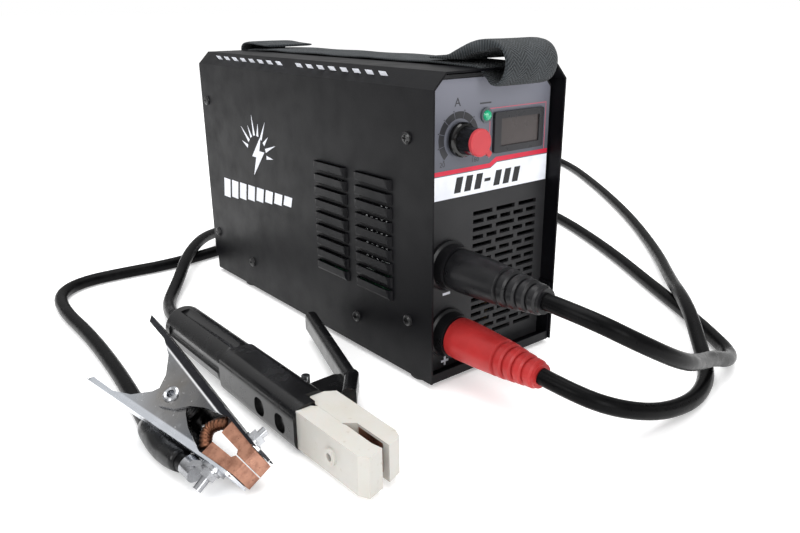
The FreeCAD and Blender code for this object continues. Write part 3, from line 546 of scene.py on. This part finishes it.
FAN = plastic("fan_black", (0.01, 0.01, 0.011), 0.45)
SWITCH = plastic("switch_black", (0.014, 0.014, 0.015), 0.22, coat=0.4)
SLEEVED_CAN = plastic("capacitor_sleeve", (0.01, 0.012, 0.03), 0.25, coat=0.4)
FERRITE = plastic("ferrite", (0.04, 0.04, 0.042), 0.7, grain=500, depth=0.1)

NODE_LOOKS = {
    "case_cover": COVER, "base_tray": COVER, "rear_panel": COVER, "front_panel": PANEL,
    "front_label": OVERLAY, "display_bezel": BEZEL_LOOK, "lamp_bezel": LAMP_RING,
    "display_window": WINDOW_LOOK, "lamp_lens": LAMP_LOOK, "knob_body": KNOB_LOOK, "knob_cap": CORAL,
    "knob_shaft": BRASS, "socket_contacts": BRASS, "plug_pins": BRASS, "socket_nuts": BRASS,
    "clamp_jaw_fixed": ZINC, "clamp_jaw_moving": ZINC, "clamp_bolt_fixed": STEEL,
    "clamp_bolt_moving": STEEL, "clamp_rivet": STEEL, "cable_lug": STEEL, "clamp_spring": BLACK_STEEL,
    "fan_guard": STEEL, "holder_pin": STEEL, "holder_spring": STEEL, "case_screws": BLACK_STEEL,
    "clamp_pad_fixed": COPPER, "clamp_pad_moving": COPPER, "holder_copper_fixed": COPPER,
    "holder_copper_moving": COPPER, "output_bars": COPPER, "heatsinks": ALUMINIUM,
    "board_pillars": BRASS, "potentiometer": ALUMINIUM, "main_board": circuit_board(),
    "control_board": circuit_board(), "bulk_capacitors": SLEEVED_CAN, "power_transistors": FERRITE,
    "transformer_core": FERRITE, "transformer_winding": coiled("winding_copper", (0.6, 0.26, 0.1)),
    "output_choke": coiled("choke_wire", (0.55, 0.3, 0.12)), "rubber_feet": FOOT_RUBBER,
    "plug_negative": RUBBER, "plug_positive": RED_RUBBER, "output_sockets": RUBBER,
    "holder_grip": HOLDER, "holder_housing": HOLDER, "holder_lever": HOLDER, "holder_jaw_fixed": IVORY,
    "holder_jaw_moving": IVORY, "fan_frame": FAN, "fan_rotor": FAN, "cable_gland": FAN,
    "gland_locknut": FAN, "switch_body": SWITCH, "switch_rocker": SWITCH}
# node: (rounding in millimetres, segments)
ROUNDED = {
    "case_cover": (0.5, 2), "front_panel": (0.5, 2), "display_bezel": (0.7, 3), "knob_body": (0.3, 2),
    "knob_cap": (0.5, 3), "clamp_jaw_fixed": (0.35, 2), "clamp_jaw_moving": (0.35, 2),
    "clamp_pad_fixed": (0.35, 3), "clamp_pad_moving": (0.35, 3), "clamp_bolt_fixed": (0.3, 2),
    "clamp_bolt_moving": (0.3, 2), "cable_lug": (0.4, 2), "holder_jaw_fixed": (2.2, 5),
    "holder_jaw_moving": (2.2, 5), "holder_lever": (1.2, 4), "holder_housing": (0.8, 3),
    "holder_grip": (0.6, 3), "plug_negative": (0.4, 3), "plug_positive": (0.4, 3),
    "output_sockets": (0.4, 2), "cable_gland": (0.5, 2), "switch_body": (0.5, 2),
    "switch_rocker": (0.6, 3), "case_screws": (0.2, 2), "base_tray": (0.4, 2), "rear_panel": (0.3, 2)}


def dress_nodes():
    for name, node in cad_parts.items():
        look = NODE_LOOKS.get(name)
        if look:
            node.data.materials.clear()
            node.data.materials.append(look)
        if name in ROUNDED:
            width, segments = ROUNDED[name]
            rounding = node.modifiers.new("rounding", "BEVEL")
            rounding.width = width * MM
            rounding.segments = segments
            rounding.limit_method = "ANGLE"
            rounding.angle_limit = math.radians(35)
            rounding.use_clamp_overlap = True
            rounding.harden_normals = True


dress_nodes()


# --- leads --------------------------------------------------------------------------------------------------
def lead(name, route, node):
    piece = cord_curve(name, route, CABLE_RADIUS)
    piece.data.materials.append(SHEATH)
    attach(piece, "machine")
    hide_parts(node)


lead("negative_lead", NEGATIVE_ROUTE, "lead_negative")
lead("positive_lead", POSITIVE_ROUTE, "lead_positive")


def lead_sleeve():
    """The shrink sleeve over the negative lead, from beside the clamp's rivet to its lug."""
    line = centreline(NEGATIVE_ROUTE)
    run = [p for p in line if p.y < -0.085 and p.x < -0.15][:-2]
    last = len(run) - 1
    radii = []
    for i in range(len(run)):
        swell = math.sin(math.pi * min(i / (0.35 * last), 1, (last - i) / (0.25 * last)) / 2)
        radii.append((CABLE_RADIUS + 0.5 + 1.7 * swell + 0.2 * math.sin(i * 0.9)) * MM)
    for point, radius in zip(run, radii):
        point.z = max(point.z, radius + 0.1 * MM)
    piece = tube("clamp_lead_sleeve", run, radii, SLEEVE)
    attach(piece, "machine")


lead_sleeve()


# --- carrying strap -----------------------------------------------------------------------------------------
def strap():
    """One woven tape: a plain ribbon that thins towards its edges, in the line that it is threaded."""
    route = [(-98, 197.2), (-112, 197.8), (-124, 203.0), (-140, 208.6), (-157, 207.5), (-164.5, 198.0),
             (-161.5, 187.0), (-153.5, 182.6), (-147.4, 188.6), (-143.3, 192.2), (-139.6, 194.35), (0, 194.3),
             (139.6, 194.35), (142.8, 192.0), (146.8, 188.9), (152.4, 189.8), (153.8, 196.0),
             (147.0, 199.6), (136, 199.4), (122, 197.8), (108, 197.4)]
    line = centreline([(STRAP_MIDDLE, y, z) for y, z in route], 12)
    half, thick, columns = STRAP_HALF_WIDTH * MM, STRAP_THICK * MM, 24
    mesh = bmesh.new()
    uv = mesh.loops.layers.uv.new("UVMap")
    sections, travel = [], 0.0
    for i, point in enumerate(line):
        ahead = (line[min(i + 1, len(line) - 1)] - line[max(i - 1, 0)]).normalized()
        up = Vector((1, 0, 0)).cross(ahead)
        if i:
            travel += (point - line[i - 1]).length
        # the free end, folded back under itself and stitched on the real tape, is drawn as a thicker stretch
        # of tape
        room = max(0.0, min(FOLD_THICK * MM, point.z - 197.4 * MM)) if travel < STRAP_TAIL else 0.0
        doubled = room * max(0.0, min(1.0, (0.160 + point.y) / 0.016))
        section = []
        for side in (1, -1):
            for k in range(columns + 1):
                u = (k / columns * 2 - 1) * side
                edge = thick / 2 * (1 - 0.55 * abs(u) ** 14)
                wave = 0.25 * MM * math.sin(travel * 95) * u * u
                lower = doubled if side > 0 else 0.0
                place = point + Vector((half * u, 0, 0)) + up * (edge * side + wave + lower)
                section.append((mesh.verts.new(place), (half * u, travel)))
        sections.append(section)
    for a, b in zip(sections, sections[1:]):
        count = len(a)
        for k in range(count):
            corners = (a[k], a[(k + 1) % count], b[(k + 1) % count], b[k])
            face = mesh.faces.new([c[0] for c in corners])
            for loop, corner in zip(face.loops, corners):
                loop[uv].uv = corner[1]
    for section in (sections[0], sections[-1]):
        face = mesh.faces.new([c[0] for c in section])
        for loop, corner in zip(face.loops, section):
            loop[uv].uv = corner[1]
    piece = from_bmesh("carrying_strap", mesh, WEBBING)
    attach(piece, "machine")
    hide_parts("strap")


strap()


# --- printed front ------------------------------------------------------------------------------------------
def printed_front():
    face = LABEL_FACE
    parts = []
    parts.append(plates("white_band", [[(-53.2, 117.4), (53.2, 117.4), (53.2, 134.6), (6.2, 134.6),
                                        (0.7, 131.6), (-53.2, 131.6)]], face, 0.10, WHITE_PRINT))
    parts.append(plates("red_stripe", [[(-53.2, 132.2), (0.6, 132.2), (6.1, 135.2), (53.2, 135.2),
                                        (53.2, 138.1), (5.2, 138.1), (-0.3, 134.8), (-53.2, 134.8)]],
                        face, 0.10, RED_PRINT))
    x0, z0, x1, z1 = BEZEL[0] - 2.2, BEZEL[1] - 1.2, 49.6, BEZEL[3] + 2.2
    frame_line = [bar(x0, z1, x1, z1 + 0.5), bar(x0 - 0.5, z0 - 1.4, x0, z1 + 0.5),
                  bar(x1, z0 - 1.4, x1 + 0.5, z1 + 0.5)]
    parts.append(plates("display_outline", frame_line, face, PRINT_THICK, PINK_PRINT))
    ring = [arc_band(KNOB, 12.0, 16.2, -135 + 30 * i + 0.7, -135 + 30 * (i + 1) - 0.7, 6) for i in range(9)]
    parts.append(plates("dial_ring", ring, face, PRINT_THICK, DIAL_PRINT))
    ticks = [arc_band(KNOB, 16.5, 17.3, -135 + 30 * i - 1.2, -135 + 30 * i + 1.2, 2) for i in range(10)]
    parts.append(plates("dial_ticks", ticks, face, PRINT_THICK, GREY_PRINT))
    parts.append(text_plate("dial_unit", "A", 7.2, -28.0, 174.0, face, GREY_PRINT))
    parts.append(text_plate("dial_low", "20", 4.4, -39.6, 138.6, face, GREY_PRINT))
    parts.append(text_plate("dial_high", "160", 4.4, -12.8, 138.6, face, GREY_PRINT))
    model = [bar(-30 + 8.4 * i, 120.0, -24.6 + 8.4 * i, 129.6, 2.2) for i in range(7)]
    model[3] = bar(-4.4, 123.8, 0.8, 125.8, 0.4)
    parts.append(plates("band_marks", model, face - 0.1, PRINT_THICK, DARK_PRINT))
    lamp_line = [bar(LAMP[0] - 5.0, 171.6, LAMP[0] + 4.6, 172.5)]
    parts.append(plates("lamp_mark", lamp_line, face, PRINT_THICK, GREY_PRINT))
    signs = [bar(-37.6, 55.6, -31.4, 57.2), bar(-38.2, 9.2, -32.0, 10.8),
             bar(-35.9, 6.9, -34.3, 9.2), bar(-35.9, 10.8, -34.3, 13.1)]
    parts.append(plates("polarity_signs", signs, PANEL_FACE, MARK_THICK, WHITE_PRINT))
    for part in parts:
        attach(part, "machine")


printed_front()


def printed_cover():
    """Plain white marks in place of the printing on the chamfer and the left side."""
    tilt = Matrix.Translation(Vector((-51.35, 0, 188.35)) * MM) @ Matrix.Rotation(math.radians(-45), 4, "Y")
    lay = Matrix(((0, 1, 0, 0), (-1, 0, 0, 0), (0, 0, 1, 0), (0, 0, 0, 1)))
    dashes = [bar(-122 + 13.6 * i, -3.9, -115 + 13.6 * i, 3.9, 2.4) for i in range(17) if i != 8]
    strip = plates("chamfer_marks", dashes, 0, MARK_THICK, WHITE_PRINT, tilt @ lay)
    side = Matrix.Translation(Vector((-56.0, 0, 0)) * MM) @ lay
    rays = []
    for i in range(9):
        angle = math.radians(-70 + 20 * i)
        cx, cz, inner, outer = -58.0, 119.0, 15.0, 25.0 + 6 * (i % 2)
        s, c = math.sin(angle), math.cos(angle)
        rays.append([(cx + inner * s - 1.5 * c, cz + inner * c + 1.5 * s), (cx + outer * s, cz + outer * c),
                     (cx + inner * s + 1.5 * c, cz + inner * c - 1.5 * s)])
    bolt = [(-50, 135), (-66, 117), (-59.5, 117), (-65, 102), (-46, 122.5), (-54, 122.5)]
    bars = [bar(-122 + 14.4 * i, 75 + 1.6 * i, -111 + 14.4 * i, 91 + 0.4 * i, 2.4) for i in range(8)]
    emblem = plates("side_marks", rays + [bolt] + bars, 0, MARK_THICK, WHITE_PRINT, side)
    for part in (strip, emblem):
        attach(part, "machine")


printed_cover()


# --- clamp braid --------------------------------------------------------------------------------------------
def clamp_place(x, y, z):
    return (CLAMP_CENTRE + CLAMP_TURN @ Vector((x, y, z))) * MM


def clamp_braid():
    route = [(36.0, -7.6, 4), (29.6, -3.2, 4.6), (29.6, 3.6, 5.2), (35.8, 8.6, 5.4)]
    line = centreline([tuple(clamp_place(*p) / MM) for p in route], 20)

    def plait(i, angle):
        return 1 + 0.2 * abs(math.sin(1.5 * angle + i * 0.55)) * (0.8 + 0.2 * math.sin(4 * angle - i * 1.3))

    piece = tube("braid", line, [2.9 * MM] * len(line), BRAID, 24, plait)
    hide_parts("clamp_braid")
    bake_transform(piece)


clamp_braid()


# --- floor and light ----------------------------------------------------------------------------------------
def studio():
    mesh = bmesh.new()
    bmesh.ops.create_grid(mesh, x_segments=1, y_segments=1, size=60)
    floor = from_bmesh("floor", mesh, None)
    look = Look("floor_white", (0.93, 0.93, 0.93), 0.9, specular=0.1)
    look.vary(look.noise(3, 2), 0.3, 0.8, (0.91, 0.91, 0.91))
    look.shader.inputs["Emission Color"].default_value = (1, 1, 1, 1)
    look.shader.inputs["Emission Strength"].default_value = 0.3
    floor.data.materials.append(look.material)
    world = bpy.data.worlds.new("studio")
    world.use_nodes = True
    bpy.context.scene.world = world
    bpy.context.scene.view_settings.view_transform = "Standard"
    tree = world.node_tree
    seen = tree.nodes["Background"]
    seen.inputs["Color"].default_value = (1, 1, 1, 1)
    seen.inputs["Strength"].default_value = 1.0
    glow = tree.nodes.new("ShaderNodeBackground")
    split = tree.nodes.new("ShaderNodeSeparateXYZ")
    tree.links.new(tree.nodes.new("ShaderNodeTexCoord").outputs["Generated"], split.inputs["Vector"])
    height = tree.nodes.new("ShaderNodeMapRange")
    height.inputs["From Max"].default_value = 0.9
    height.inputs["To Min"].default_value = 0.22
    height.inputs["To Max"].default_value = 1.3
    tree.links.new(split.outputs["Z"], height.inputs["Value"])
    tree.links.new(height.outputs["Result"], glow.inputs["Strength"])
    choose = tree.nodes.new("ShaderNodeMixShader")
    tree.links.new(tree.nodes.new("ShaderNodeLightPath").outputs["Is Camera Ray"], choose.inputs["Fac"])
    tree.links.new(glow.outputs["Background"], choose.inputs[1])
    tree.links.new(seen.outputs["Background"], choose.inputs[2])
    tree.links.new(choose.outputs["Shader"], tree.nodes["World Output"].inputs["Surface"])
    for name, place, target, size, power in (
            ("top", (0.1, 0.1, 1.6), (0, 0, 0.1), 1.5, 22),
            ("front", (-0.4, -1.7, 0.7), (0, 0, 0.1), 0.9, 10),
            ("left", (-1.6, -0.3, 0.9), (-0.1, 0, 0.08), 0.8, 8)):
        data = bpy.data.lights.new(name, "AREA")
        data.size = size
        data.energy = power
        lamp = link(name, data)
        lamp.location = place
        lamp.rotation_euler = (Vector(target) - Vector(place)).to_track_quat("-Z", "Y").to_euler()


studio()
